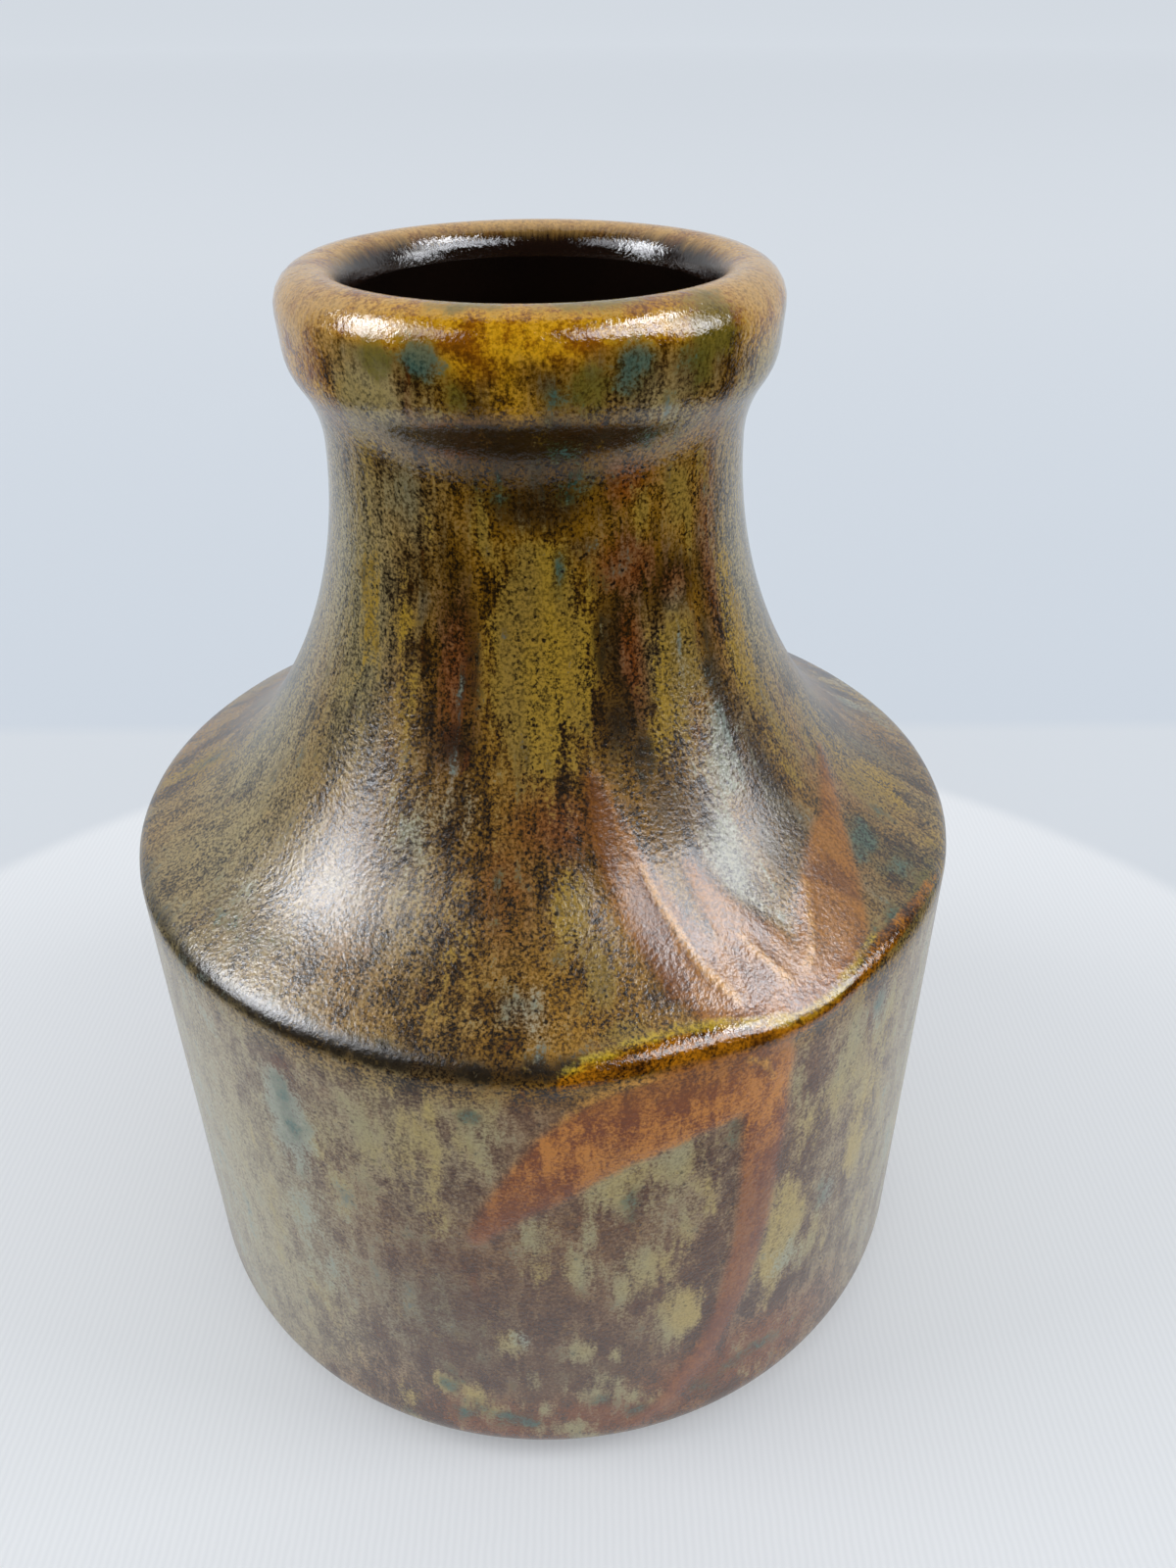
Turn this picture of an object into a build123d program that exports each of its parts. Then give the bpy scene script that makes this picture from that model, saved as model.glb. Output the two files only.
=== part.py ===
from build123d import *
from math import radians, sin, tan
import os

# A glazed stoneware bud vase: drum-shaped body, sloped shoulder, coved neck and rolled lip.
# Millimetres and degrees. +Z is up and the origin is the centre of the foot on the table.
# The neck's narrowest ring is the datum: the body is drawn down from it and the lip up from it.

# Neck ring, on the finished face
neck_radius = 21.2
neck_height = 108.95

# Cove and shoulder, from the neck ring down
cove_high = 54.3  # radius of the long upper arc of the cove
cove_low = 28.4  # radius of the tighter lower arc
cove_break = 54.5  # slope at which one arc runs into the other
shoulder_slope = 27.1
shoulder_straight = 7.3  # from the end of the cove to the shoulder's sharp corner
shoulder_roll = 2.6

# Wall and foot
wall_taper = 0.75  # the wall leans in by this much on its way up
foot_lift = 0.6  # the foot ring holds the finished body this far off the table
foot_roll = 4.8
bare_turn = 35.0  # the part of the foot roll that is wiped clean of glaze
ring_inset = 2.2  # from the end of the foot roll in to the foot ring
ring_width = 4.5
ring_edge = 0.5  # bevel sponged along the two edges that the vase stands on
recess = 2.0  # height of the underside inside the foot ring

# Lip, from the neck ring up
flare_radius = 10.5
flare_turn = 34.4
lip_roll = 6.3
lip_lean = 3.8  # the lip's side still leans out by this much
lip_band = 3.2
crown_roll = 3.55

# Wall section
wall = 3.6  # clay and both glazes together
floor = 5.0
inner_roll = 4.0
floor_fillet = 6.0
outer_coat = 0.5
liner_coat = 0.4

# What follows from those
shoulder_turn = 90 - shoulder_slope - wall_taper
bore_radius = neck_radius - wall
floor_height = recess + floor


def shoulder_to_wall(depth, roll):
    """Neck ring to wall, `depth` inside the finished face, round a shoulder of radius `roll`."""
    high = JernArc((neck_radius - depth, neck_height), (0, -1), cove_high + depth, 90 - cove_break)
    low = JernArc(high @ 1, high % 1, cove_low + depth, cove_break - shoulder_slope)
    run = shoulder_straight - (depth + roll) * tan(radians(shoulder_turn / 2))
    slope = PolarLine(low @ 1, run, direction=low % 1)
    return JernArc(slope @ 1, slope % 1, roll, -shoulder_turn)


def wall_to(start, height):
    """The leaning wall, from the end of the shoulder roll down to `height`."""
    return PolarLine(start @ 1, (start @ 1).Y - height, direction=start % 1, length_mode=LengthMode.VERTICAL)


def outside_below(depth):
    """Finished outside or its parallel at `depth`, from the neck ring down to the glaze line."""
    shoulder = shoulder_to_wall(depth, shoulder_roll - depth)
    roll = foot_roll - depth
    side = wall_to(shoulder, foot_lift + foot_roll + roll * sin(radians(wall_taper)))
    return JernArc(side @ 1, side % 1, roll, bare_turn - 90 - wall_taper)


def outside_above(depth):
    """Finished lip or its parallel at `depth`, from the neck ring over the crown into the mouth."""
    flare = JernArc((neck_radius - depth, neck_height), (0, 1), flare_radius + depth, -flare_turn)
    lip = JernArc(flare @ 1, flare % 1, lip_roll - depth, flare_turn - lip_lean)
    band = PolarLine(lip @ 1, lip_band, direction=lip % 1)
    crown = JernArc(band @ 1, band % 1, crown_roll - depth, 90 + lip_lean)
    return JernArc(crown @ 1, (-1, 0), (crown @ 1).X - bore_radius - depth, 90)


def inside(depth):
    """Face of the hollow or its parallel at `depth` under the outside, from the seam to the axis."""
    spare = wall - depth
    seam = Line((neck_radius - depth, seam_height), (neck_radius - depth, neck_height))
    shoulder = shoulder_to_wall(depth, inner_roll + spare)
    roll = floor_fillet + spare
    side = wall_to(shoulder, floor_height + floor_fillet + roll * sin(radians(wall_taper)))
    heel = JernArc(side @ 1, side % 1, roll, -90 - wall_taper)
    Line(heel @ 1, (0, floor_height - spare))
    return seam


# The glazes meet where the lip's roll ends and the bore of the neck begins
with BuildLine():
    seam_height = (outside_above(0) @ 1).Y


# Stoneware body: one wall from the foot ring to the lip, bare under the foot
with BuildPart() as clay_body:
    with BuildSketch(Plane.XZ):
        with BuildLine():
            glaze_line = outside_below(outer_coat)
            bare = JernArc(glaze_line @ 1, glaze_line % 1, foot_roll - outer_coat, -bare_turn)
            ring_radius = (bare @ 1).X - ring_inset
            Polyline(
                bare @ 1,
                (ring_radius, (bare @ 1).Y),
                (ring_radius, 0),
                (ring_radius - ring_width, 0),
                (ring_radius - ring_width, recess),
                (0, recess),
                (0, floor_height - liner_coat),
            )
            liner_end = inside(wall - liner_coat)
            glaze_end = outside_above(outer_coat)
            Line(glaze_end @ 1, liner_end @ 0)
        make_face()
    revolve(axis=Axis.Z)
    standing_edges = clay_body.edges().group_by(Axis.Z)[0]
    chamfer(standing_edges, ring_edge)
clay_body.part.label = "clay_body"

# Reactive glaze outside: one coat from the glaze line up over the lip to the seam in the mouth
with BuildPart() as outer_glaze:
    with BuildSketch(Plane.XZ):
        with BuildLine():
            face_foot, back_foot = outside_below(0), outside_below(outer_coat)
            Line(face_foot @ 1, back_foot @ 1)
            face_seam, back_seam = outside_above(0), outside_above(outer_coat)
            Line(face_seam @ 1, back_seam @ 1)
        make_face()
    revolve(axis=Axis.Z)
outer_glaze.part.label = "outer_glaze"

# Liner glaze: the dark coat that holds the water, from the seam down over the floor
with BuildPart() as liner_glaze:
    with BuildSketch(Plane.XZ):
        with BuildLine():
            face, back = inside(wall), inside(wall - liner_coat)
            Line(face @ 0, back @ 0)
            Line((0, floor_height), (0, floor_height - liner_coat))
        make_face()
    revolve(axis=Axis.Z)
liner_glaze.part.label = "liner_glaze"

os.makedirs("parts", exist_ok=True)
for piece in (clay_body, outer_glaze, liner_glaze):
    export_step(piece.part, f"parts/{piece.part.label}.step")
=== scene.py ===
"""Looks of a glazed stoneware bud vase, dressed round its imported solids.

Metres, in the frame of the solids: +Z up the vase's axis, origin at the centre of the foot,
the vase's front towards -Y. Sizes in the sections are in millimetres unless they say otherwise.
"""

from math import cos, pi, radians, sin, tan

import bpy
import numpy as np
from mathutils import Matrix, Vector


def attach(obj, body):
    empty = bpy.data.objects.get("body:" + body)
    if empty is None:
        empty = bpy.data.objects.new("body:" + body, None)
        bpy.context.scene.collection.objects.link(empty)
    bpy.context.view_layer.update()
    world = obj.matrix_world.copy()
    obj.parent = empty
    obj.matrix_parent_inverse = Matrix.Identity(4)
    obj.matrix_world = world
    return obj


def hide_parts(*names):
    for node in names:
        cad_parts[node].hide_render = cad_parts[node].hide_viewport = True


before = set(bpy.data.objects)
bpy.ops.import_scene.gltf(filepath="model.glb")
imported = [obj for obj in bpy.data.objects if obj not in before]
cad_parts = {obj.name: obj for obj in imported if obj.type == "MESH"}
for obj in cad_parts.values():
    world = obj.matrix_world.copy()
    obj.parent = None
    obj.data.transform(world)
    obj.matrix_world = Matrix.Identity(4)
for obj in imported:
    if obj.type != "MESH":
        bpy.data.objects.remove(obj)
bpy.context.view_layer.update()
bpy.ops.object.select_all(action="DESELECT")


# Camera
# The vase is looked at as on a table, from above the front edge and only about 120 mm away,
# with a phone's wide lens, so the mouth is large and the foot is small.
eye = Vector((0.0052, -0.1203, 0.1461))
look_down = 34.14
lens_roll = -0.285
bpy.ops.object.camera_add(location=eye)
camera = bpy.context.object
camera.name = "view_from_table_edge"
aim = Matrix.Rotation(radians(90 - look_down), 4, "X") @ Matrix.Rotation(radians(lens_roll), 4, "Z")
camera.rotation_euler = aim.to_euler("XYZ")
camera.data.sensor_width = 36
camera.data.lens = 27.05
camera.data.clip_start = 0.005
bpy.context.scene.camera = camera


# Clay body
# Thrown and turned stoneware, bare only where it stands: the end of the foot roll, the foot
# ring and the recess inside it, all wiped with a wet sponge before the firing.
def srgb(code, alpha=1.0):
    """A colour written as hex, turned to the linear values that shaders take."""
    shown = [int(code[i : i + 2], 16) / 255 for i in (1, 3, 5)]
    return (*(c / 12.92 if c <= 0.04045 else ((c + 0.055) / 1.055) ** 2.4 for c in shown), alpha)


def add_node(material, kind, inputs=None, **settings):
    """Adds a node. Each input is a value, or the output of another node, which is linked to it."""
    made = material.node_tree.nodes.new(kind)
    for name, value in settings.items():
        setattr(made, name, value)
    for key, value in (inputs or {}).items():
        if isinstance(value, bpy.types.NodeSocket):
            material.node_tree.links.new(value, made.inputs[key])
        else:
            made.inputs[key].default_value = value
    return made


def new_material(name):
    """An empty node material and its output node."""
    material = bpy.data.materials.new(name)
    material.use_nodes = True
    material.node_tree.nodes.clear()
    return material, add_node(material, "ShaderNodeOutputMaterial")


def give_finish(piece, material):
    """Makes `material` the only finish of a piece."""
    piece.data.materials.clear()
    piece.data.materials.append(material)


# A Mix node of colours keeps its sockets by number
FACTOR, UNDER, OVER, MIXED = 0, 6, 7, 2

# Stoneware, sponged: matt, warm grey-buff, with grog grains that stand a little proud
cloud_width = 14
grog_grain = 0.9
grit_grain = 0.25
stoneware, stoneware_out = new_material("bare_stoneware_sponged")
place = add_node(stoneware, "ShaderNodeTexCoord").outputs["Object"]
cloudy = add_node(
    stoneware, "ShaderNodeTexNoise", {"Vector": place, "Scale": 1000 / cloud_width, "Detail": 4.0}
)
grog = add_node(stoneware, "ShaderNodeTexVoronoi", {"Vector": place, "Scale": 1000 / grog_grain})
grit = add_node(stoneware, "ShaderNodeTexNoise", {"Vector": place, "Scale": 1000 / grit_grain, "Detail": 3.0})
buff = add_node(
    stoneware,
    "ShaderNodeMix",
    {FACTOR: cloudy.outputs["Fac"], UNDER: srgb("#8C7A66"), OVER: srgb("#A9927A")},
    data_type="RGBA",
)
grog_spot = add_node(
    stoneware,
    "ShaderNodeMapRange",
    {"Value": grog.outputs["Distance"], "From Min": 0.16, "From Max": 0.26, "To Min": 0.7, "To Max": 0.0},
)
clay_colour = add_node(
    stoneware,
    "ShaderNodeMix",
    {FACTOR: grog_spot.outputs["Result"], UNDER: buff.outputs[MIXED], OVER: srgb("#5E4D3E")},
    data_type="RGBA",
)
clay_bump = add_node(
    stoneware, "ShaderNodeBump", {"Height": grit.outputs["Fac"], "Strength": 0.6, "Distance": 0.0001}
)
clay_shader = add_node(
    stoneware,
    "ShaderNodeBsdfPrincipled",
    {
        "Base Color": clay_colour.outputs[MIXED],
        "Roughness": 0.85,
        "IOR": 1.5,
        "Normal": clay_bump.outputs["Normal"],
    },
)
stoneware.node_tree.links.new(clay_shader.outputs["BSDF"], stoneware_out.inputs["Surface"])
give_finish(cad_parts["clay_body"], stoneware)


# Outer glaze
# One thick dipped coat of reactive glaze, from the glaze line on the foot roll over the lip to the
# seam in the mouth: khaki crystals of rutile over dark iron glass, which ran as it melted. A few
# brush marks of iron oxide lie in it, and it pools on the shoulder's corner and on the lip.
neck_radius, neck_height = 21.2, 108.95
cove_high, cove_low, cove_break = 54.3, 28.4, 54.5
shoulder_slope, shoulder_straight, shoulder_roll = 27.1, 7.3, 2.6
wall_taper = 0.75
foot_lift, foot_roll, bare_turn = 0.6, 4.8, 35.0
flare_radius, flare_turn = 10.5, 34.4
lip_roll, lip_lean, lip_band, crown_roll = 6.3, 3.8, 3.2, 3.55
bore_radius = 17.6
outer_coat = 0.5


def trace(start, heading, runs, step):
    """Points along a chain of runs, each (length,) or (radius, turn in degrees to the left)."""
    x, y = start
    points = [(x, y)]
    for run in runs:
        turn = run[1] if len(run) == 2 else 0.0
        length = abs(run[0] * radians(turn)) if turn else run[0]
        parts = max(3 if turn else 1, round(length / step))
        chord = 2 * run[0] * sin(abs(radians(turn)) / parts / 2) if turn else length / parts
        for _ in range(parts):
            heading += turn / parts / 2
            x, y = x + chord * cos(radians(heading)), y + chord * sin(radians(heading))
            heading += turn / parts / 2
            points.append((x, y))
    return points


def coat_line(depth, step):
    """Finished outside, or its parallel at `depth`, from the glaze line up into the mouth."""
    shoulder_turn = 90 - shoulder_slope - wall_taper
    down = [(cove_high + depth, 90 - cove_break), (cove_low + depth, cove_break - shoulder_slope)]
    down += [(shoulder_straight - shoulder_roll * tan(radians(shoulder_turn / 2)),)]
    down += [(shoulder_roll - depth, -shoulder_turn)]
    ring = (neck_radius - depth, neck_height)
    wall_top = trace(ring, -90, down, step)[-1][1]
    roll = foot_roll - depth
    wall_end = foot_lift + foot_roll + roll * sin(radians(wall_taper))
    down += [((wall_top - wall_end) / cos(radians(wall_taper)),), (roll, bare_turn - 90 - wall_taper)]
    up = [(flare_radius + depth, -flare_turn), (lip_roll - depth, flare_turn - lip_lean), (lip_band,)]
    up += [(crown_roll - depth, 90 + lip_lean)]
    crown_radius = trace(ring, 90, up, step)[-1][0]
    up += [(crown_radius - bore_radius - depth, 90)]
    return trace(ring, -90, down, step)[::-1] + trace(ring, 90, up, step)[1:]


def spin_closed(name, outline, columns):
    """A closed shell: an outline in mm is drawn by extruding a vertex, closed, and spun round Z."""
    bpy.ops.mesh.primitive_plane_add(size=0.001)
    piece = bpy.context.object
    piece.name = piece.data.name = name
    bpy.ops.object.mode_set(mode="EDIT")
    bpy.ops.mesh.merge(type="CENTER")
    places = [Vector((x, 0, z)) / 1000 for x, z in outline]
    bpy.ops.transform.translate(value=places[0])
    for here, there in zip(places, places[1:]):
        bpy.ops.mesh.extrude_region_move(TRANSFORM_OT_translate={"value": there - here})
    bpy.ops.object.mode_set(mode="OBJECT")
    for end in (0, len(places) - 1):
        piece.data.vertices[end].select = True
    bpy.ops.object.mode_set(mode="EDIT")
    bpy.ops.mesh.edge_face_add()
    bpy.ops.mesh.select_all(action="SELECT")
    bpy.ops.mesh.spin(steps=columns, angle=2 * pi, center=(0, 0, 0), axis=(0, 0, 1))
    bpy.ops.mesh.select_all(action="SELECT")
    bpy.ops.mesh.remove_doubles(threshold=1e-6)
    bpy.ops.mesh.normals_make_consistent(inside=False)
    bpy.ops.object.mode_set(mode="OBJECT")
    bpy.ops.object.shade_smooth_by_angle(angle=radians(50))
    return piece


face_step, back_step = 0.9, 4.0
columns_round = 384
face_line = coat_line(0, face_step)
back_line = coat_line(outer_coat, back_step)
coat = spin_closed("outer_glaze_coat", face_line + back_line[::-1], columns_round)

# Where each point of the coat lies: degrees round from the front, and mm up along the face
places = np.empty(len(coat.data.vertices) * 3)
coat.data.vertices.foreach_get("co", places)
places = places.reshape(-1, 3) * 1000
radius = np.hypot(places[:, 0], places[:, 1])
around = np.degrees(np.arctan2(places[:, 0], -places[:, 1]))
line = np.array(face_line)
bare_length = foot_roll * radians(bare_turn)
line_up = bare_length + np.concatenate([[0], np.cumsum(np.hypot(*np.diff(line, axis=0).T))])
gap = np.hypot(radius[:, None] - line[None, :, 0], places[:, 2][:, None] - line[None, :, 1])
up = line_up[gap.argmin(1)]
on_face = gap.min(1) < 0.05


def keep(name, values, kind="FLOAT"):
    """Stores a value, or a vector, for each point of the coat, for the glaze to read."""
    layer = coat.data.attributes.new(name, kind, "POINT")
    kept_as = "vector" if kind == "FLOAT_VECTOR" else "value"
    layer.data.foreach_set(kept_as, np.asarray(values, np.float32).ravel())


turned = np.radians(around)
wall_radius = 48
flow_places = [wall_radius * np.sin(turned), -wall_radius * np.cos(turned), up]
keep("flow", np.stack(flow_places, 1), "FLOAT_VECTOR")
keep("up_the_face", up)


def blots(places_of):
    """Soft-edged islands, each (degrees round, mm up, half width in degrees, half height in mm, strength)."""
    field = np.zeros(len(up))
    for turn, height, wide, tall, strength in places_of:
        away = (around - turn + 180) % 360 - 180
        squared = (away / wide) ** 2 + ((up - height) / tall) ** 2
        field = np.maximum(field, strength * np.exp(-0.6 * squared))
    return field


# Khaki crystal islands
khaki = [
    # neck and shoulder
    (2, 108, 11, 9, 1.15), (-3, 104, 7, 6, 0.95), (10, 105, 5, 6, 0.9), (36, 105, 6, 4, 1.2),
    (32, 101, 4, 4.5, 1.0), (57, 104, 5, 8, 0.8), (40, 120.5, 4.5, 2.6, 0.8), (43, 117, 2, 4, 0.8),
    (-11, 119, 2.5, 3, 0.9), (-5, 122, 3, 2, 0.6), (-33, 110, 5, 6, 0.5), (-29, 103, 4, 8, 0.4),
    (-44, 108, 4, 10, 0.4), (28, 98, 3, 3, 0.8), (19, 97, 3, 2.5, 0.5), (6, 83, 2.5, 3.5, 0.95),
    (9, 77, 2.5, 4, 0.8), (11, 70.5, 2, 1.5, 0.8), (-12, 80, 4, 6, 0.45), (-26, 119, 3, 3, 0.5),
    (60, 94, 8, 8, 0.5), (79, 77, 6, 4, 0.9), (79, 86, 10, 6, 0.6), (40, 92, 4, 5, 0.7),
    (-8, 92, 5, 5, 0.3), (3, 115, 6, 4, 0.7), (29, 119, 2.5, 3, 0.8), (-30, 84, 14, 10, 0.35),
    (50, 123, 3, 2, 0.4), (-5, 97, 7, 3, 0.35), (70, 88, 2, 2, 0.9), (62, 92, 2, 3, 0.8),
    (74, 80, 3, 2, 0.8), (58, 88, 2, 2, 0.8),
    # wall, under the corner and down the left side
    (-14, 58, 4, 8, 0.75), (-20, 60, 3, 6, 0.7), (-7, 60, 3, 5, 0.65), (-25, 54, 4, 10, 0.6),
    (-12, 48, 2, 5, 0.5), (-38, 40, 6, 26, 0.3), (-47, 30, 4, 20, 0.25), (-31, 22, 4, 12, 0.4),
    # wall, round the brush marks
    (10, 52, 4, 6, 0.95), (17, 54, 3, 4, 0.85), (21, 49, 1.4, 6, 0.6), (0, 44, 1.6, 6, 0.85),
    (6, 45, 1.4, 7, 0.6), (5, 39, 2, 3, 0.75), (12, 37, 2.6, 5, 0.85), (18, 41, 1.4, 5, 0.6),
    (18, 28, 2.6, 5, 1.0), (16, 36, 1.2, 3, 0.6), (33, 34, 3.4, 9, 1.1), (30, 44, 2, 6, 0.7),
    (36, 50, 3, 8, 0.7), (39, 29, 2.4, 5, 0.7), (42, 57, 3, 9, 0.8), (46, 44, 2.4, 9, 0.85),
    (50, 52, 3, 14, 0.75), (54, 30, 5, 10, 0.6), (68, 40, 10, 30, 0.6), (32, 58, 3, 5, 0.6),
    # wall, the mottled foot
    (-4, 26, 1.6, 2.4, 0.9), (5, 24.5, 1.6, 2.4, 0.8), (9.5, 23, 1.0, 1.6, 0.8), (-14, 16, 2.4, 2, 0.7),
    (-8, 12, 3, 1.8, 0.75), (-2, 19, 1.2, 2, 0.8), (7, 16, 3.0, 2.4, 0.8), (15, 12, 2, 2, 0.6),
    (-20, 12, 2, 2, 0.6), (2, 9, 4, 1.6, 0.75), (0, 13, 1.4, 2, 0.7), (28, 10, 3, 1.6, 0.5),
    (-17, 6, 3, 1.6, 0.8), (6, 6, 3, 1.6, 0.8), (-3, 14, 1.2, 2, 0.6), (-19, 11, 1.8, 2, 0.9),
    (-9, 15, 1.6, 2, 0.8), (8, 18, 2.4, 1.6, 0.9), (12, 14, 1.4, 1.6, 0.8),
    # collar and lip
    (-36, 130, 8, 3, 0.8), (33, 128, 8, 2.5, 0.7), (45, 123, 4, 2, 0.5), (12, 122, 4, 2.5, 0.5),
    (-18, 129, 6, 2, 0.6), (60, 130, 8, 5, 0.6), (-22, 126, 3, 3, 0.7), (-40, 126, 6, 4, 0.7),
]
# Dark glass, where hardly any crystals grew. The arc at 127.2 mm up, under the lip, is painted shade and
# painted dark reflection. The long line at 67.5 mm up, along the left of the corner, is partly dark glass and
# partly the painted dark reflection of the corner's roll
umber_and_shade = [
    (-18, 107, 5.5, 9, 1.0), (-17, 98.5, 5, 2.6, 1.2), (-21, 116, 3, 5, 0.7), (21.5, 107, 5, 7, 1.0),
    (19, 100, 6, 4, 0.85), (2, 121, 15, 2.6, 1.0), (26, 114, 7, 3.5, 1.1), (-27, 112, 2, 6, 0.8),
    (46, 100, 3, 12, 1.0), (27, 91, 6, 3, 0.55), (50, 88, 4, 9, 1.0), (12, 117, 4, 2, 0.7),
    (-25, 67.5, 42, 1.3, 1.1), (-14, 30, 10, 16, 0.55), (-3, 127.2, 23, 2.0, 1.6), (0, 124, 30, 2.0, 0.7),
    (-38, 135, 6, 1.5, 0.8), (45, 134, 5, 3, 0.6), (-32, 121, 9, 2.6, 0.8), (-32, 83, 8, 8, 0.6),
    (44, 84, 3, 6, 0.8), (37, 112, 9, 3, 1.2), (33, 117, 2, 4, 0.8), (48, 112, 4, 5, 0.9),
    (6, 20, 14, 4, 0.4), (8, 87, 5, 4, 0.5), (58, 72, 10, 3, 0.5), (-30, 134.5, 6, 1.4, 0.9),
    (-10, 132, 4, 2, 0.9), (5, 133, 3, 1.6, 0.8), (14, 134, 3, 2, 0.7), (36, 133, 5, 2.4, 0.6),
]
# Rust: glass with more iron in it, on the neck, the left of the collar and round the foot
rust = [
    (24, 115, 9, 2.8, 0.8), (25, 122.5, 7, 2, 0.95), (51, 114, 4, 12, 0.9), (24, 106, 3, 5, 0.9),
    (-18, 104, 6, 8, 0.75), (4, 91, 12, 4, 0.75), (0, 96, 10, 3, 0.4), (36, 112, 8, 2, 0.6),
    (-6, 85, 6, 6, 0.7), (-56, 131, 13, 5, 1.3), (-16, 127.5, 10, 2, 1.0), (-44, 58, 5, 16, 0.6),
    (55, 76, 6, 3, 0.6), (-24, 76, 8, 4, 0.5), (-45, 66, 12, 1.5, 0.5), (-34, 104, 5, 8, 0.5),
    (30, 14, 16, 6, 1.1), (14, 10, 12, 3, 0.9), (-6, 10, 14, 4, 1.0), (-24, 14, 8, 5, 0.5),
    (-12, 14, 6, 3, 0.6), (8, 11, 12, 4, 1.0), (-30, 9, 8, 3, 0.6), (68, 84, 10, 8, 0.7),
]
# Teal blooms, mostly on the lip, by the corner and at the foot
teal = [
    (-20, 134.3, 4.5, 2.2, 1.15), (22, 133.8, 5, 2.4, 1.15), (34, 133, 5, 2.4, 0.7), (9, 132, 4, 2, 0.65),
    (-3, 74, 3, 2, 0.6), (-6, 122, 6, 1.2, 0.7), (14, 122.5, 8, 1.2, 0.75), (62, 77, 6, 2.5, 1.0),
    (62, 72, 5, 2, 0.9), (7, 115, 1.6, 2, 0.9), (11, 49, 1.2, 3, 0.9), (40, 36, 1.5, 3, 0.7),
    (47, 62, 1.6, 4, 0.7), (-31, 55, 2.5, 6, 0.7), (-7, 62, 1.5, 1.2, 0.8), (-14, 93, 3, 3, 0.5),
    (-13, 16.5, 1.8, 2, 1.0), (-9, 12, 2, 1.8, 1.0), (-2, 10, 1.8, 1.8, 1.0), (-4, 11, 5, 1.5, 0.8),
    (13, 11, 1.8, 1.6, 1.0), (8, 14, 1.6, 1.4, 0.8), (-20, 8, 1.8, 1.8, 0.9), (30, 14, 5, 1.5, 0.8),
    (-10, 11, 4, 1.5, 0.8), (22, 12, 3, 2, 0.8), (24, 57, 1.5, 4, 0.7), (-6, 84, 1.2, 4, 0.7),
    (30, 127, 7, 1.6, 0.6), (8, 126, 4, 1.6, 0.7), (-8, 123, 4, 1.5, 0.6), (-44, 73, 12, 2.5, 0.5),
    (53, 69.5, 6, 1.5, 0.8),
]
# Pale cool haze: pale glass. On the right shoulder between the brush marks it is partly a painted highlight,
# and down the sides of the wall partly a painted reflection of the pale cloth
pale = [
    (-31.5, 54, 3.5, 8, 1.0), (-31, 36, 6, 14, 0.5), (-45, 60, 8, 8, 0.4), (42, 94, 5, 5, 0.9),
    (35, 84, 4, 8, 0.9), (36, 104.5, 4, 3, 0.3), (-14, 92, 5, 5, 0.6), (-22, 88, 6, 5, 0.5),
    (-2, 73, 4, 2.5, 0.7), (30, 129, 12, 1.5, 0.4), (41, 36, 2, 3, 0.9), (47, 62, 2, 4, 0.8),
    (-50, 76, 8, 4, 0.4), (-3, 27, 1.5, 1.5, 0.8), (34, 29, 3, 4, 0.6), (-55, 30, 12, 30, 0.5),
    (62, 40, 8, 30, 0.5),
]
# Ashen khaki, thin and even, paler and greyer on the left and towards the sides. On the left shoulder this
# paleness is partly a painted grey sheen, the reflection of the lamps, and down the sides of the wall partly
# a painted reflection of the pale cloth
ashen_and_sheen = [
    (-72, 90, 20, 18, 0.9), (-58, 80, 16, 12, 0.85), (-47, 108, 12, 16, 0.95), (-38, 120, 12, 5, 0.6),
    (40, 121, 7, 3, 0.35), (36, 104.5, 6, 4, 0.9), (33, 34, 6, 12, 0.4), (-20, 80, 8, 8, 0.5),
    (-12, 56, 10, 8, 0.5), (-62, 112, 18, 16, 1.0), (70, 110, 14, 16, 0.9), (78, 88, 12, 12, 0.6),
    (-50, 36, 20, 34, 1.15), (-20, 58, 12, 10, 0.7), (42, 44, 9, 18, 0.5), (18, 50, 8, 8, 0.35),
    (62, 36, 18, 30, 0.9), (-75, 130, 10, 6, 0.4), (75, 130, 14, 6, 0.8), (-34, 131, 10, 3.5, 1.0),
    (28, 131, 12, 3, 0.55), (-78, 34, 10, 30, 1.1), (80, 34, 10, 30, 1.0), (-78, 110, 10, 22, 0.9),
    (80, 110, 10, 20, 0.8),
]
# Deep glass: nearly black pools that cover the crystals. The first island, the sharp dark crescent under the
# lip at 127.5 mm up, is painted shade and painted dark reflection. The long one at 67.5 mm up, along the left
# of the corner, is partly dark glass and partly the painted dark reflection of the corner's roll
deep_and_shade = [
    (1, 127.5, 19, 1.05, 3.0), (-17, 98.5, 4, 2, 0.6), (18, 101, 5, 3, 0.5), (23, 96.5, 4, 2.4, 0.5),
    (-26, 67.5, 36, 1.0, 0.9), (-10, 124, 6, 1.5, 0.6), (8, 123, 5, 1.5, 0.6), (44, 104, 2, 6, 0.6),
    (16, 108, 2, 5, 0.5), (-14, 106, 2, 6, 0.5),
]
# Thin tan glass over the crown, at the sides and the back
tanned = [(-62, 137.5, 26, 5, 1.0), (66, 139, 22, 4, 1.0), (180, 139, 95, 5, 1.1)]
# Honey glass below the lip's own ring of it
honeyed = [
    (-8, 134.8, 8, 2, 0.9), (8, 135.5, 8, 1.4, 0.85), (-24, 136.5, 16, 1.4, 0.8), (22, 136.5, 12, 1.2, 0.7),
    (-2, 131, 4, 2, 0.45), (32, 136, 6, 1.0, 0.6), (62, 136, 14, 2.5, 0.9), (-60, 133.5, 14, 4.5, 0.95),
    (-40, 137, 8, 1.5, 0.8),
]
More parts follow.
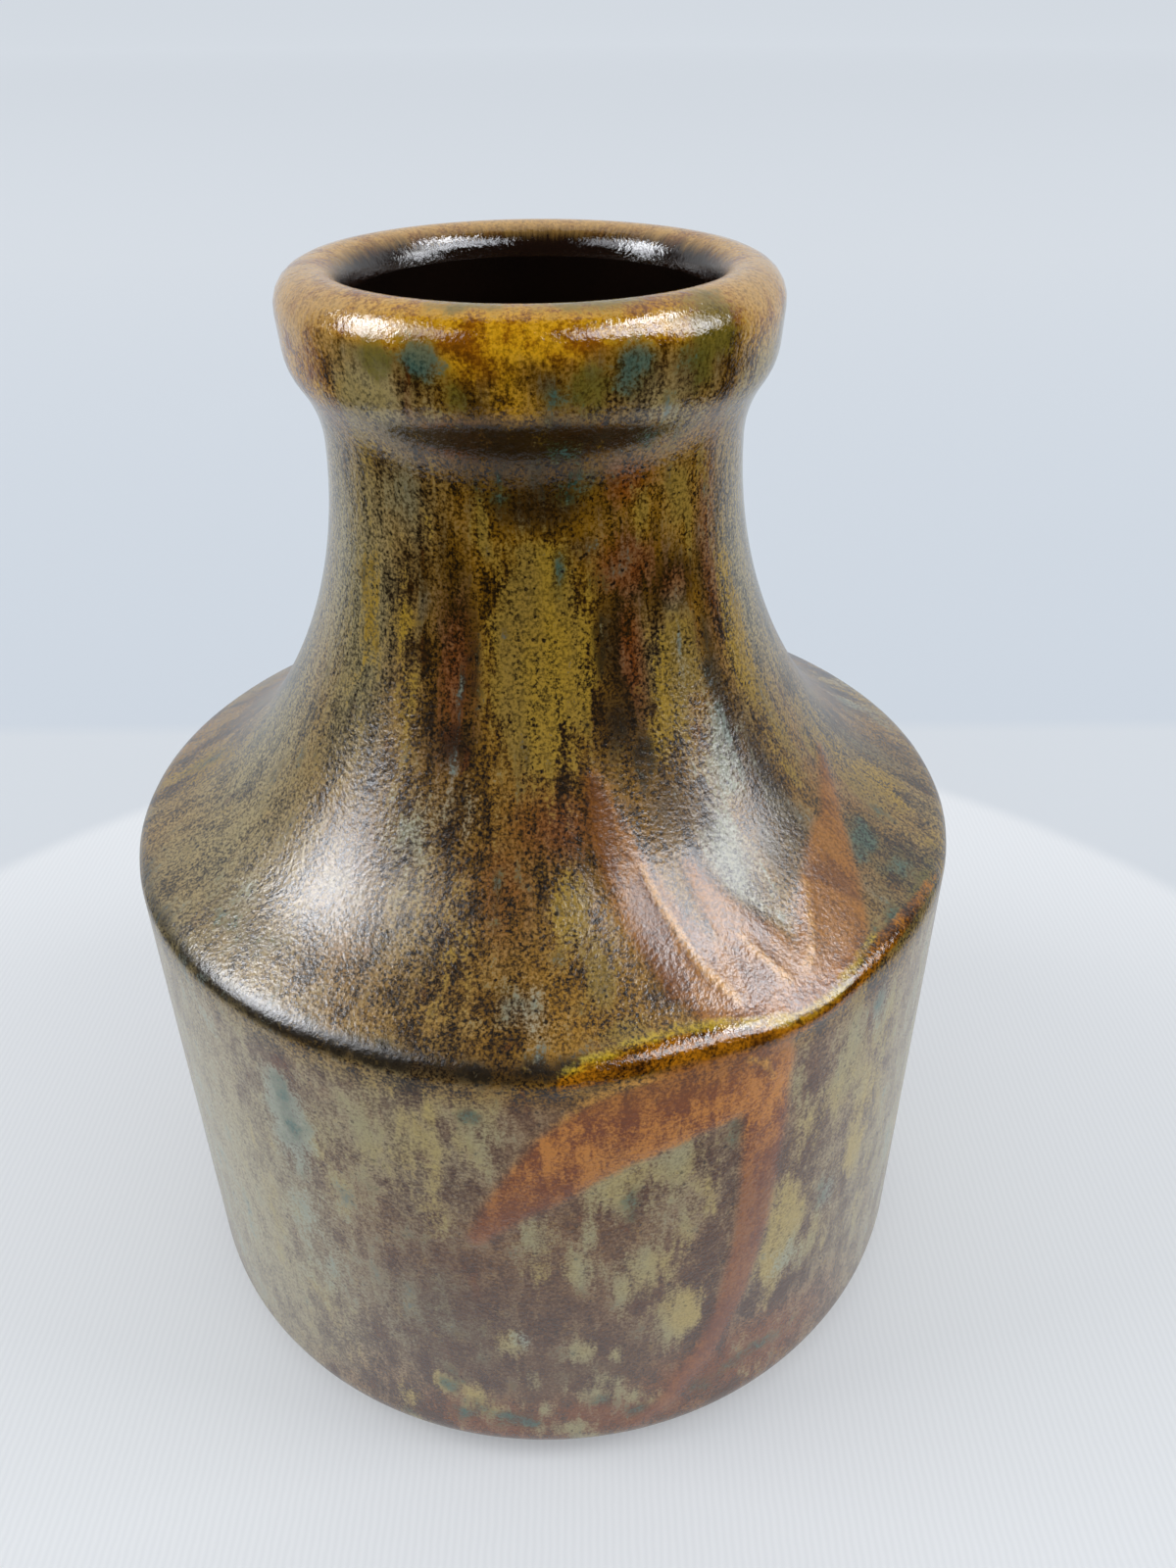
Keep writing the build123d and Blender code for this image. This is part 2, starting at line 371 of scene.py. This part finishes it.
# Olive glass on the lip and by the corner
olive = [
    (42, 136, 7, 2.5, 1.1), (-12, 140.5, 14, 1.6, 0.75), (18, 140.5, 16, 1.8, 0.9), (40, 139, 8, 1.6, 0.7),
    (13, 132.5, 4, 2, 1.0), (38, 133.5, 5, 2.5, 0.8), (-13, 132, 3, 1.6, 0.8), (56, 68.5, 12, 1.5, 0.9),
    (-30, 134, 5, 2, 0.8),
]
# The back and far sides have the same kinds of islands, scattered
scatter = np.random.default_rng(11)
hidden_from, hidden_to = 85, 275
for kinds, count, widths, heights in (
    (khaki, 60, (3, 11), (3, 12)),
    (umber_and_shade, 22, (4, 9), (4, 12)),
    (rust, 16, (4, 10), (3, 8)),
    (teal, 24, (1.5, 4), (1.5, 4)),
    (pale, 16, (2, 7), (3, 10)),
):
    for _ in range(count):
        kinds.append(
            (
                scatter.uniform(hidden_from, hidden_to),
                scatter.uniform(5, 134),
                scatter.uniform(*widths),
                scatter.uniform(*heights),
                scatter.uniform(0.5, 1.0),
            )
        )
kinds_of_island = {
    "khaki": khaki,
    "umber_and_shade": umber_and_shade,
    "rust": rust,
    "teal": teal,
    "pale": pale,
    "honeyed": honeyed,
    "olive": olive,
    "ashen_and_sheen": ashen_and_sheen,
    "tanned": tanned,
    "deep_and_shade": deep_and_shade,
}
for name, places_of in kinds_of_island.items():
    keep(name, blots(places_of))


def brush(mark):
    """How far inside a brush mark each point is, in mm.

    A mark is a list of (degrees round, mm up, half width in mm).
    """
    turns, heights, halves = np.array(mark, float).T
    dabs = 40 * len(mark)
    spread = np.linspace(0, len(mark) - 1, dabs)
    turns, heights, halves = (np.interp(spread, range(len(mark)), v) for v in (turns, heights, halves))
    radii = np.interp(heights, line_up, line[:, 0])
    rises = np.interp(heights, line_up, line[:, 1])
    inside = np.full(len(up), -50.0)
    for turn, r, z, half in zip(np.radians(turns), radii, rises, halves):
        away = places - (r * sin(turn), -r * cos(turn), z)
        inside = np.maximum(inside, half - np.sqrt((away**2).sum(1)))
    return inside


# Brush marks: three up the shoulder from the corner, one across the wall and one down it
strokes = [
    [(27, 70, 4.2), (22, 75, 3.6), (17.5, 82, 2.7), (14, 89, 2.0), (11.5, 95, 0.8)],
    [(34, 70, 3.4), (32, 75, 3.0), (29, 80, 1.8), (27, 85, 0.6)],
    [(38, 70, 3.0), (45, 74, 4.0), (52, 78, 3.2), (60, 81, 1.6), (72, 86, 0.7)],
    [
        (26, 62.5, 4.4), (17, 61.8, 5.2), (9, 59.5, 5.0), (4, 56.2, 4.2), (0, 52.5, 3.2), (-4, 48.5, 2.0),
        (-7.5, 44, 0.8),
    ],
    [
        (27, 66, 2.8), (28, 56, 2.6), (28, 46, 2.3), (27.5, 38, 2.0), (25.5, 28, 1.7), (22.5, 20, 1.6),
        (17, 12, 1.2), (12, 8, 0.6),
    ],
]
# Ridges where the oxide lies thick, in and along the marks
ridges = [
    [(18.5, 86, 0.1), (20.5, 81, 0.3), (23, 75, 0.35), (25.5, 71, 0.3)],
    [(30, 77, 0.1), (31.5, 74, 0.3), (33, 71, 0.3)],
    [(36, 71, 0.3), (39.5, 73, 0.35), (42, 75.5, 0.3), (45.5, 78.5, 0.1)],
    [(2, 61, 0.1), (5.5, 64, 0.3), (9, 65.6, 0.35), (15, 66.3, 0.1)],
    [(24, 65.6, 0.1), (27, 64, 0.3), (28.5, 61, 0.1)],
]
# The amber bead pooled along the corner, and the rim above it
bead = [
    (2, 66.2, 0.5), (6, 67.2, 1.1), (11, 68.0, 1.4), (16, 68.5, 1.5), (21, 68.2, 1.4), (26, 67.2, 1.2),
    (31, 66.6, 0.9), (36, 66.8, 0.9), (42, 67.8, 1.0), (48, 68.6, 1.0), (56, 68.6, 0.8), (66, 68.0, 0.4),
]
bead_rim = [
    (3, 67.3, 0.15), (6, 68.4, 0.3), (11, 69.4, 0.3), (17, 70.0, 0.3), (22, 69.5, 0.3), (28, 68.1, 0.3),
    (32, 67.4, 0.3), (37, 67.6, 0.3), (42, 68.8, 0.3), (48, 69.8, 0.1),
]
brushed = np.max([brush(mark) for mark in strokes], axis=0)
ridged = np.max([brush(mark) for mark in ridges], axis=0)
pooled = brush(bead)
rimmed = brush(bead_rim)
marks_on_face = {"brushed": brushed, "ridged": ridged, "pooled": pooled, "rimmed": rimmed}
for name, depth_inside in marks_on_face.items():
    keep(name, depth_inside)


def raise_face(name, weights, height):
    """Raises the glaze by up to `height` mm where the weights say, with a Displace modifier."""
    group = coat.vertex_groups.new(name=name)
    weights = np.where(on_face, np.clip(weights, 0, 1), 0)
    levels = 20
    for level in range(1, levels + 1):
        chosen = np.flatnonzero(np.round(weights * levels) == level)
        group.add(chosen.tolist(), level / levels, "REPLACE")
    modifier = coat.modifiers.new(name, "DISPLACE")
    modifier.vertex_group = name
    modifier.mid_level = 0.0
    modifier.strength = height / 1000
    bpy.ops.object.modifier_apply(modifier=name)


raise_face("brush_marks", 0.5 + brushed / 1.6, 0.15)
raise_face("brush_ridges", 0.5 + ridged / 0.8, 0.2)
raise_face("pooled_bead", 0.4 + pooled / 1.8, 0.4)
raise_face("bead_rim", 0.7 + rimmed / 1.2, 0.15)

# Reactive glaze, fired: thick coloured glass, of a high index for its iron and rutile. It shines
# most on the neck, the lip and the bead, and is satin lower down, where crystals crowd its face
glaze, glaze_out = new_material("reactive_glaze_fired")
place = add_node(glaze, "ShaderNodeTexCoord").outputs["Object"]
flow = add_node(glaze, "ShaderNodeAttribute", attribute_name="flow").outputs["Vector"]
fields = {
    name: add_node(glaze, "ShaderNodeAttribute", attribute_name=name).outputs["Fac"]
    for name in ("up_the_face", *kinds_of_island, *marks_on_face)
}
height_up = fields["up_the_face"]


def streaks(width, stretch, detail, shift=0.0):
    """Noise that runs down the face: `width` mm across, `stretch` times as tall."""
    shape = {0: flow, 1: (1, 1, 1 / stretch)}
    squeezed = add_node(glaze, "ShaderNodeVectorMath", shape, operation="MULTIPLY")
    apart = {0: squeezed.outputs[0], 1: (shift, shift, 0)}
    moved = add_node(glaze, "ShaderNodeVectorMath", apart, operation="ADD")
    noise = {"Vector": moved.outputs[0], "Scale": 1 / width, "Detail": detail, "Roughness": 0.62}
    return add_node(glaze, "ShaderNodeTexNoise", noise).outputs["Fac"]


def specks(width, detail, roughness):
    """Noise that is alike all ways, `width` mm across."""
    noise = {"Vector": place, "Scale": 1000 / width, "Detail": detail, "Roughness": roughness}
    return add_node(glaze, "ShaderNodeTexNoise", noise).outputs["Fac"]


def weighed(start, *parts):
    """A sum: `start`, with each part on top. A part is a field, or (field, weight)."""
    for part in parts:
        field, weight = part if isinstance(part, tuple) else (part, 1.0)
        inputs = {0: field, 1: weight, 2: start}
        start = add_node(glaze, "ShaderNodeMath", inputs, operation="MULTIPLY_ADD").outputs[0]
    return start


def mottle(*parts):
    """Noise about 0, from noises about a half, each (noise, weight)."""
    return weighed(-sum(weight for _, weight in parts) / 2, *parts)


def where(low, high, *parts):
    """How far a sum of parts has come from `low` to `high`: 0 to 1, with soft ends."""
    reach = {"Value": weighed(0.0, *parts), "From Min": low, "From Max": high}
    return add_node(glaze, "ShaderNodeMapRange", reach, interpolation_type="SMOOTHSTEP").outputs["Result"]


def together(first, *amounts):
    """The product of some amounts: strong only where all of them are."""
    for amount in amounts:
        first = add_node(glaze, "ShaderNodeMath", {0: first, 1: amount}, operation="MULTIPLY").outputs[0]
    return first


def lay(under, colour, amount, most=1.0):
    """Lays a colour of glass over another by an amount, which `most` scales."""
    inputs = {FACTOR: together(amount, most), UNDER: under, OVER: colour}
    return add_node(glaze, "ShaderNodeMix", inputs, data_type="RGBA").outputs[MIXED]


wide = streaks(15, 1.6, 3)
patchy = streaks(5.5, 1.5, 4, 20)
middling = streaks(2.6, 2.6, 5, 40)
fine = streaks(0.8, 5.0, 4, 80)
runs = streaks(1.9, 6.0, 4, 130)
grain = specks(0.34, 3.0, 0.7)
blotches = specks(2.8, 4.0, 0.6)
broken = mottle((middling, 1.6), (fine, 0.6), (grain, 1.4), (patchy, 1.0), (runs, 0.3), (blotches, 1.1))
soft = mottle((middling, 1.6), (fine, 0.7), (grain, 0.9), (patchy, 1.2), (runs, 1.0))
frayed = mottle((middling, 0.7), (fine, 0.8), (grain, 0.7))
clouded = mottle((blotches, 1.6), (grain, 0.8))


def islands(name, low, high, *edges):
    """Amount of a colour: its islands, with edges broken up by the running glaze."""
    return where(low, high, fields[name], *(edges or (broken,)))


# Heights are mm up the face: the wall to 66, shoulder and cove to 95, neck to 124, lip to 141.
# Dark glass to honey-brown, by wide drifts and fine streaks; duller and redder down the wall
on_wall = where(66.0, 62.0, height_up)
off_wall = weighed(1.0, (on_wall, -1.0))
drift = where(0.10, 0.70, (wide, 0.8), (broken, 0.6))
upper = lay(srgb("#3E2603"), srgb("#AE7A0E"), drift)
lower = lay(srgb("#5E381E"), srgb("#8C6238"), drift)
lower = lay(lower, srgb("#4E342A"), where(44.0, 20.0, height_up), 0.4)
colour = lay(upper, lower, on_wall)
colour = lay(colour, srgb("#7C4010"), where(0.52, 0.42, patchy, (fine, 0.3)), 0.5)
# Dark glass; its arc under the lip is painted shade, and its line along the left of the corner is partly a
# painted dark reflection
colour = lay(colour, srgb("#2E1A04"), islands("umber_and_shade", 0.30, 1.10), 0.95)
colour = lay(colour, srgb("#8A4406"), islands("rust", 0.25, 0.95), 0.8)
# Ashen khaki: partly a painted grey sheen of reflected light on the left shoulder and down the wall's sides
pale_ash_and_sheen = lay(srgb("#B2A67A"), srgb("#C4BA96"), on_wall)
colour = lay(colour, pale_ash_and_sheen, islands("ashen_and_sheen", -0.1, 1.3, (broken, 0.9)), 0.85)

# Khaki crystals: crisp islands above the corner, blurred ones down the wall
khaki_upper = lay(srgb("#B28D28"), srgb("#9C7D32"), where(0.4, 0.6, wide))
khaki_upper = lay(khaki_upper, srgb("#AC9C6C"), where(124.0, 129.0, height_up), 0.7)
khaki_lower = lay(srgb("#C2A964"), srgb("#B0A478"), where(0.4, 0.6, wide))
khaki_colour = lay(khaki_upper, khaki_lower, on_wall)
crisp = together(islands("khaki", 0.20, 0.70, broken, (fields["umber_and_shade"], -0.5)), off_wall)
blurred = together(islands("khaki", 0.25, 0.95, soft), on_wall)
colour = lay(colour, khaki_colour, weighed(0.0, crisp, blurred), 0.95)
# Nearly black pools, with the painted shade of the crescent under the lip and the painted dark reflection
# along the left of the corner
colour = lay(colour, srgb("#1E1205"), islands("deep_and_shade", 0.40, 0.80, (clouded, 0.4), (broken, 1.1)), 0.9)
# Pale haze, partly a painted highlight on the right shoulder and a painted reflection down the wall's sides
colour = lay(colour, srgb("#A3B3A8"), islands("pale", 0.35, 0.95), 0.6)

# Honey glass, olive and teal on the lip, and teal blooms below it
lip_ring = where(134.8, 137.4, height_up)
honey = lay(srgb("#945604"), srgb("#E0A416"), where(0.58, 0.88, blotches, (grain, 0.5)))
honey = lay(honey, srgb("#CFA364"), islands("tanned", 0.2, 1.0, clouded), 0.8)
honey_amount = where(0.1, 0.95, fields["honeyed"], (lip_ring, 1.3), (clouded, 0.8))
colour = lay(colour, honey, honey_amount)
colour = lay(colour, srgb("#6E6420"), islands("olive", 0.3, 0.9, clouded), 0.8)
teal_amount = islands("teal", 0.3, 1.15, clouded, (broken, 0.3))
bloom = lay(srgb("#2A4420"), srgb("#30625A"), where(0.3, 0.9, teal_amount))
colour = lay(colour, bloom, teal_amount, 0.8)

# Iron specks, 0.2 to 0.4 mm
pepper_cell = 1.1
peppered = add_node(glaze, "ShaderNodeTexVoronoi", {"Vector": place, "Scale": 1000 / pepper_cell})
pepper = peppered.outputs["Distance"]
sparse = where(0.62, 0.80, blotches, (fine, 0.4))
speck = where(0.33, 0.24, pepper, (grain, 0.5), (sparse, -0.15))
below_lip = where(136.0, 128.0, height_up)
speck_amount = weighed(0.15, (below_lip, 0.7), (on_wall, -0.35))
colour = lay(colour, srgb("#1A0F06"), together(speck, speck_amount))

# Brush marks of iron oxide, redder down the wall and golden where they thicken towards the corner
mark_amount = where(-0.8, 0.7, fields["brushed"], (broken, 0.7))
mark_colour = lay(srgb("#86400A"), srgb("#D4842A"), where(-0.35, 0.4, broken, (frayed, 0.6)))
mark_colour = lay(mark_colour, srgb("#844A2C"), where(58.0, 44.0, height_up), 0.75)
mark_colour = lay(mark_colour, srgb("#9E5C08"), where(60.0, 66.0, height_up), 0.55)
on_shoulder = lay(srgb("#7E480E"), srgb("#B0701A"), where(0.66, 0.84, patchy, (fine, 0.5)))
mark_colour = lay(mark_colour, on_shoulder, where(68.0, 72.0, height_up), 0.8)
colour = lay(colour, mark_colour, mark_amount, 0.9)
ridge_amount = where(-0.45, 0.25, fields["ridged"], (frayed, 0.6))
colour = lay(colour, srgb("#E0A040"), ridge_amount, 0.8)

# Amber glass pooled on the corner, its yellow rim, and the dark glass that starts in the mouth
bead_amount = where(-0.2, 0.3, fields["pooled"], (frayed, 0.9))
amber = lay(srgb("#5A3004"), srgb("#BA740E"), where(-0.3, 0.3, clouded))
colour = lay(colour, amber, bead_amount)
rim_amount = where(-0.5, 0.2, fields["rimmed"], (frayed, 0.8))
colour = lay(colour, srgb("#D8B830"), rim_amount, 0.7)
throat_amount = where(141.2, 143.8, height_up, (frayed, 2.0))
colour = lay(colour, srgb("#20110A"), throat_amount)

# Grain of the whole surface, fainter down the wall and on the brush marks
grain_here = weighed(0.36, (below_lip, 0.46), (on_wall, -0.5))
grain_crowd = weighed(0.75, (where(0.58, 0.40, middling), 0.4))
grain_off_marks = weighed(1.0, (mark_amount, -0.4))
grain_amount = together(grain_here, grain_crowd, grain_off_marks)
colour = lay(colour, srgb("#120B03"), together(where(0.60, 0.36, grain), grain_amount))

mark_on_wall = together(mark_amount, on_wall)
gloss = weighed(0.0, (where(92.0, 122.0, height_up), 0.85), (where(130.0, 134.0, height_up), 0.15))
gloss = weighed(gloss, bead_amount, (mark_on_wall, 0.5))
satin, glassy = 0.235, 0.05
roughness = add_node(glaze, "ShaderNodeMapRange", {"Value": gloss, "To Min": satin, "To Max": glassy})
peel = specks(0.6, 3.0, 0.6)
peel_bump = add_node(glaze, "ShaderNodeBump", {"Height": peel, "Strength": 0.75, "Distance": 0.0001})
glaze_shader = add_node(
    glaze,
    "ShaderNodeBsdfPrincipled",
    {
        "Base Color": colour,
        "Roughness": roughness.outputs["Result"],
        "IOR": 1.7,
        "Normal": peel_bump.outputs["Normal"],
    },
)
glaze.node_tree.links.new(glaze_shader.outputs["BSDF"], glaze_out.inputs["Surface"])
give_finish(coat, glaze)
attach(coat, "root")
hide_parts("outer_glaze")


# Liner glaze
# The plain dark glaze that was poured in and out to make the vase hold water. Thick black-brown
# glass, very shiny, with the faint waves of a poured coat.
cloud_width, wave_width = 6, 5
liner, liner_out = new_material("liner_glaze_poured")
place = add_node(liner, "ShaderNodeTexCoord").outputs["Object"]
clouds = add_node(liner, "ShaderNodeTexNoise", {"Vector": place, "Scale": 1000 / cloud_width, "Detail": 4.0})
liner_colour = add_node(
    liner,
    "ShaderNodeMix",
    {FACTOR: clouds.outputs["Fac"], UNDER: srgb("#0E0A08"), OVER: srgb("#1C120C")},
    data_type="RGBA",
)
waves = add_node(liner, "ShaderNodeTexNoise", {"Vector": place, "Scale": 1000 / wave_width, "Detail": 2.0})
liner_waves = {"Height": waves.outputs["Fac"], "Strength": 0.3, "Distance": 0.0003}
liner_bump = add_node(liner, "ShaderNodeBump", liner_waves)
liner_shader = add_node(
    liner,
    "ShaderNodeBsdfPrincipled",
    {
        "Base Color": liner_colour.outputs[MIXED],
        "Roughness": 0.08,
        "IOR": 1.52,
        "Normal": liner_bump.outputs["Normal"],
    },
)
liner.node_tree.links.new(liner_shader.outputs["BSDF"], liner_out.inputs["Surface"])
give_finish(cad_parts["liner_glaze"], liner)


# Table and studio
# A small round table under a white knit cloth, on a pale floor, between two soft lamps. They
# only stand round the vase, so none of it is part of the piece.
table_edge = 150
edge_blur = 3
table_ahead = 34  # its middle lies this far in front of the vase
bpy.ops.mesh.primitive_circle_add(vertices=128, radius=60, fill_type="NGON")
floor = bpy.context.object
floor.name = floor.data.name = "pale_floor"
cloth, cloth_out = new_material("white_cloth_and_pale_floor")
spot = add_node(cloth, "ShaderNodeTexCoord").outputs["Object"]
to_middle = (0, table_ahead / 1000, 0)
centred = add_node(cloth, "ShaderNodeVectorMath", {0: spot, 1: to_middle}, operation="ADD")
reach = add_node(cloth, "ShaderNodeVectorMath", {0: centred.outputs[0]}, operation="LENGTH").outputs["Value"]
beyond = add_node(
    cloth,
    "ShaderNodeMapRange",
    {
        "Value": reach,
        "From Min": (table_edge - edge_blur) / 1000,
        "From Max": (table_edge + edge_blur) / 1000,
    },
    interpolation_type="SMOOTHSTEP",
).outputs["Result"]
pale = add_node(
    cloth,
    "ShaderNodeMix",
    {FACTOR: beyond, UNDER: srgb("#D2D4D7"), OVER: srgb("#C2C6CB")},
    data_type="RGBA",
)
# Beyond the table the backdrop starts a shade bluer, and pales from 0.12 to 0.7 m behind the vase
behind = add_node(cloth, "ShaderNodeSeparateXYZ", {0: spot}).outputs["Y"]
fold = add_node(cloth, "ShaderNodeMapRange", {"Value": behind, "From Min": 0.116, "From Max": 0.122})
fading = add_node(
    cloth,
    "ShaderNodeMapRange",
    {"Value": behind, "From Min": 0.12, "From Max": 0.7, "To Min": 0.45, "To Max": 0.0},
)
shaded = add_node(
    cloth, "ShaderNodeMath", {0: fold.outputs["Result"], 1: fading.outputs["Result"]}, operation="MULTIPLY"
)
bluer = add_node(
    cloth,
    "ShaderNodeMix",
    {FACTOR: shaded.outputs[0], UNDER: pale.outputs[MIXED], OVER: srgb("#B2BBC6")},
    data_type="RGBA",
)
# Knit ribs, drawn as painted shade in the grooves between them. At a scale of 1 a wave's bands lie pi / 10
# apart
rib_pitch = 0.9
waves = add_node(
    cloth,
    "ShaderNodeTexWave",
    {"Vector": spot, "Scale": pi / 10 * 1000 / rib_pitch, "Distortion": 1.5, "Detail": 2.0},
    bands_direction="X",
)
near = add_node(cloth, "ShaderNodeMath", {0: 1.0, 1: beyond}, operation="SUBTRACT").outputs[0]
ribs = add_node(cloth, "ShaderNodeMath", {0: waves.outputs["Fac"], 1: near}, operation="MULTIPLY")
ribs = add_node(cloth, "ShaderNodeMath", {0: ribs.outputs[0], 1: 0.10}, operation="MULTIPLY")
ribbed = add_node(
    cloth,
    "ShaderNodeMix",
    {FACTOR: ribs.outputs[0], UNDER: bluer.outputs[MIXED], OVER: srgb("#A4A8AD")},
    data_type="RGBA",
)
pale = ribbed.outputs[MIXED]
# What the camera, gloss and glass see of the cloth is lifted towards white; none of it lights the vase
rays = add_node(cloth, "ShaderNodeLightPath").outputs
seen = rays["Is Camera Ray"]
for kind in ("Is Glossy Ray", "Is Transmission Ray"):
    seen = add_node(cloth, "ShaderNodeMath", {0: seen, 1: rays[kind]}, operation="MAXIMUM").outputs[0]
far = add_node(
    cloth,
    "ShaderNodeMapRange",
    {"Value": reach, "From Min": 0.3, "From Max": 4.0, "To Min": 0.34, "To Max": 0.54},
)
glow = add_node(cloth, "ShaderNodeMath", {0: seen, 1: far.outputs["Result"]}, operation="MULTIPLY").outputs[0]
matt = add_node(cloth, "ShaderNodeBsdfDiffuse", {"Color": pale})
lift = add_node(cloth, "ShaderNodeEmission", {"Color": pale, "Strength": glow})
both = add_node(cloth, "ShaderNodeAddShader", {0: matt.outputs[0], 1: lift.outputs[0]})
cloth.node_tree.links.new(both.outputs[0], cloth_out.inputs["Surface"])
give_finish(floor, cloth)


lamp_distance = 2.5


def lamp(name, turn, rise, wide, tall, radiance, in_gloss_only=False):
    """A soft lamp in metres, at degrees round and up from the middle of the vase, turned to face it."""
    middle = Vector((0, 0, 0.08))
    turn, rise = radians(turn), radians(rise)
    towards = Vector((sin(turn) * cos(rise), -cos(turn) * cos(rise), sin(rise)))
    bpy.ops.object.light_add(type="AREA", location=middle + lamp_distance * towards)
    made = bpy.context.object
    made.name = name
    made.rotation_euler = (-towards).to_track_quat("-Z", "Y").to_euler()
    made.data.shape = "RECTANGLE"
    made.data.size, made.data.size_y = wide, tall
    made.data.energy = pi * wide * tall * radiance
    made.visible_diffuse = not in_gloss_only
    if in_gloss_only:
        made.data.color = srgb("#F6F9FF")[:3]


lamp("soft_lamp_left", -86, 42, 0.95, 1.10, 4.0)
lamp("soft_lamp_right", 85, 37, 0.80, 1.45, 3.6)
# Panels which only the glaze's gloss sees: its highlights are then as bright and as broken as a
# window's, and the light on the vase stays even
gloss_panels = {
    "left_1": (-95, 39, 0.26, 0.6, 13.0),
    "left_2": (-86, 37, 0.26, 0.6, 13.0),
    "left_3": (-77, 35, 0.26, 0.6, 13.0),
    "right_1": (53, 38, 0.22, 0.6, 13.0),
    "right_2": (63, 38, 0.22, 0.6, 13.0),
    "right_3": (73, 38, 0.22, 0.6, 13.0),
    "left_low": (-78, 22, 1.0, 0.7, 8.0),
    "right_low": (80, 20, 1.0, 0.7, 6.0),
    "left_front": (-56, 42, 0.9, 0.9, 3.0),
    "right_front": (38, 46, 0.8, 0.9, 6.0),
    "right_high": (80, 57, 1.2, 0.4, 15.0),
}
for name, size_and_place in gloss_panels.items():
    lamp(f"gloss_panel_{name}", *size_and_place, in_gloss_only=True)

# The room on the viewer's side is dim: a dark curtain that only shows in the glaze. It is a dome of
# 4 m radius, and its lower half is pressed flat just above the cloth
bpy.ops.mesh.primitive_uv_sphere_add(segments=64, ring_count=32, radius=4)
curtain = bpy.context.object
curtain.name = curtain.data.name = "dark_curtain_in_front"
bpy.ops.object.mode_set(mode="EDIT")
bpy.ops.mesh.select_all(action="DESELECT")
bpy.ops.object.mode_set(mode="OBJECT")
for corner in curtain.data.vertices:
    corner.select = corner.co.z < 0.001
bpy.ops.object.mode_set(mode="EDIT")
bpy.ops.transform.resize(value=(1, 1, 0), center_override=(0, 0, 0.0005))
bpy.ops.object.mode_set(mode="OBJECT")
bpy.ops.object.select_all(action="DESELECT")
drape, drape_out = new_material("dark_curtain")
spot = add_node(drape, "ShaderNodeTexCoord").outputs["Object"]
sides = add_node(drape, "ShaderNodeSeparateXYZ", {0: spot}).outputs
bearing = add_node(drape, "ShaderNodeMath", {0: sides["X"], 1: sides["Y"]}, operation="ARCTAN2").outputs[0]
turned_away = add_node(drape, "ShaderNodeMath", {0: bearing}, operation="ABSOLUTE").outputs[0]
in_front = add_node(
    drape,
    "ShaderNodeMapRange",
    {"Value": turned_away, "From Min": radians(60), "From Max": radians(80)},
    interpolation_type="SMOOTHSTEP",
).outputs["Result"]
reach = add_node(drape, "ShaderNodeVectorMath", {0: spot}, operation="LENGTH").outputs["Value"]
past_table = add_node(drape, "ShaderNodeMapRange", {"Value": reach, "From Min": 0.15, "From Max": 0.17})
# Nearer than that it only half hides the cloth, which lies in the viewer's shade there
straight_ahead = add_node(
    drape,
    "ShaderNodeMapRange",
    {"Value": turned_away, "From Min": radians(110), "From Max": radians(150), "To Max": 0.55},
    interpolation_type="SMOOTHSTEP",
).outputs["Result"]
off_foot = add_node(drape, "ShaderNodeMapRange", {"Value": reach, "From Min": 0.065, "From Max": 0.09})
shade = add_node(
    drape, "ShaderNodeMath", {0: straight_ahead, 1: off_foot.outputs["Result"]}, operation="MULTIPLY"
)
shade = add_node(
    drape, "ShaderNodeMath", {0: past_table.outputs["Result"], 1: shade.outputs[0]}, operation="MAXIMUM"
)
covers = add_node(drape, "ShaderNodeMath", {0: in_front, 1: shade.outputs[0]}, operation="MULTIPLY")
clear = add_node(drape, "ShaderNodeBsdfTransparent")
dim = add_node(drape, "ShaderNodeEmission", {"Color": srgb("#262422"), "Strength": 1.0})
part_seen = add_node(
    drape, "ShaderNodeMixShader", {0: covers.outputs[0], 1: clear.outputs[0], 2: dim.outputs[0]}
)
drape.node_tree.links.new(part_seen.outputs[0], drape_out.inputs["Surface"])
give_finish(curtain, drape)
curtain.visible_camera = curtain.visible_diffuse = curtain.visible_shadow = False
curtain.visible_transmission = curtain.visible_volume_scatter = False

world = bpy.data.worlds.new("pale_studio")
bpy.context.scene.world = world
world.use_nodes = True
world.node_tree.nodes.clear()
sky_out = add_node(world, "ShaderNodeOutputWorld")
sky_light = add_node(world, "ShaderNodeBackground", {"Color": srgb("#E6EAEE"), "Strength": 0.85})
world.node_tree.links.new(sky_light.outputs[0], sky_out.inputs["Surface"])
bpy.context.scene.view_settings.view_transform = "Standard"
